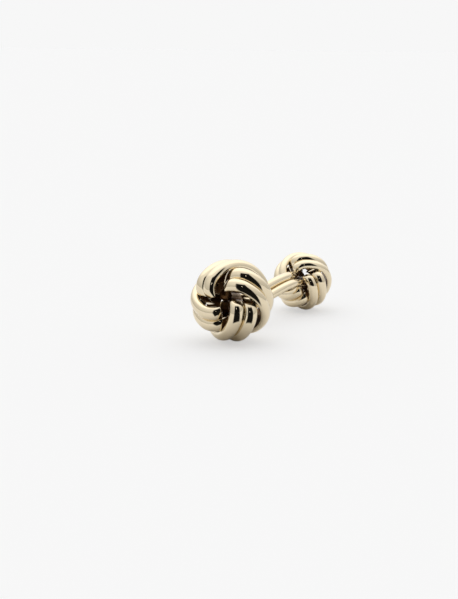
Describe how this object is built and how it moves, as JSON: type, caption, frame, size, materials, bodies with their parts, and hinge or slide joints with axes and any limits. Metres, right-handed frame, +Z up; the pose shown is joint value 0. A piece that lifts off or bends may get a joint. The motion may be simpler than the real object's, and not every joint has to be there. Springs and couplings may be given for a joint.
{
  "type": "cufflink",
  "caption": "Double-ended cufflink: a large and a small woven ball knot of round metal strands, joined by a curved bar of paired wires.",
  "frame": {"origin": "centre of the bounding box in X and Y, on the surface that both knots rest on", "axes": "+X from the large knot to the small knot, +Z up, +Y to the left when looking along +X"},
  "size_m": [0.0338, 0.012, 0.012],
  "materials": {
    "large_knot_gold": "polished",
    "small_knot_gold": "polished",
    "bar_gold": "polished"
  },
  "bodies": {
    "root": {"large_band_1_front_strand": "large_knot_gold", "large_band_1_rear_strand": "large_knot_gold", "large_band_2_front_strand": "large_knot_gold", "large_band_2_rear_strand": "large_knot_gold", "large_band_3_front_strand": "large_knot_gold", "large_band_3_rear_strand": "large_knot_gold", "large_band_4_front_strand": "large_knot_gold", "large_band_4_rear_strand": "large_knot_gold", "small_band_1_front_strand": "small_knot_gold", "small_band_1_rear_strand": "small_knot_gold", "small_band_2_front_strand": "small_knot_gold", "small_band_2_rear_strand": "small_knot_gold", "small_band_3_front_strand": "small_knot_gold", "small_band_3_rear_strand": "small_knot_gold", "small_band_4_front_strand": "small_knot_gold", "small_band_4_rear_strand": "small_knot_gold", "bar_upper_wire": "bar_gold", "bar_lower_wire": "bar_gold"}
  },
  "joints": []
}
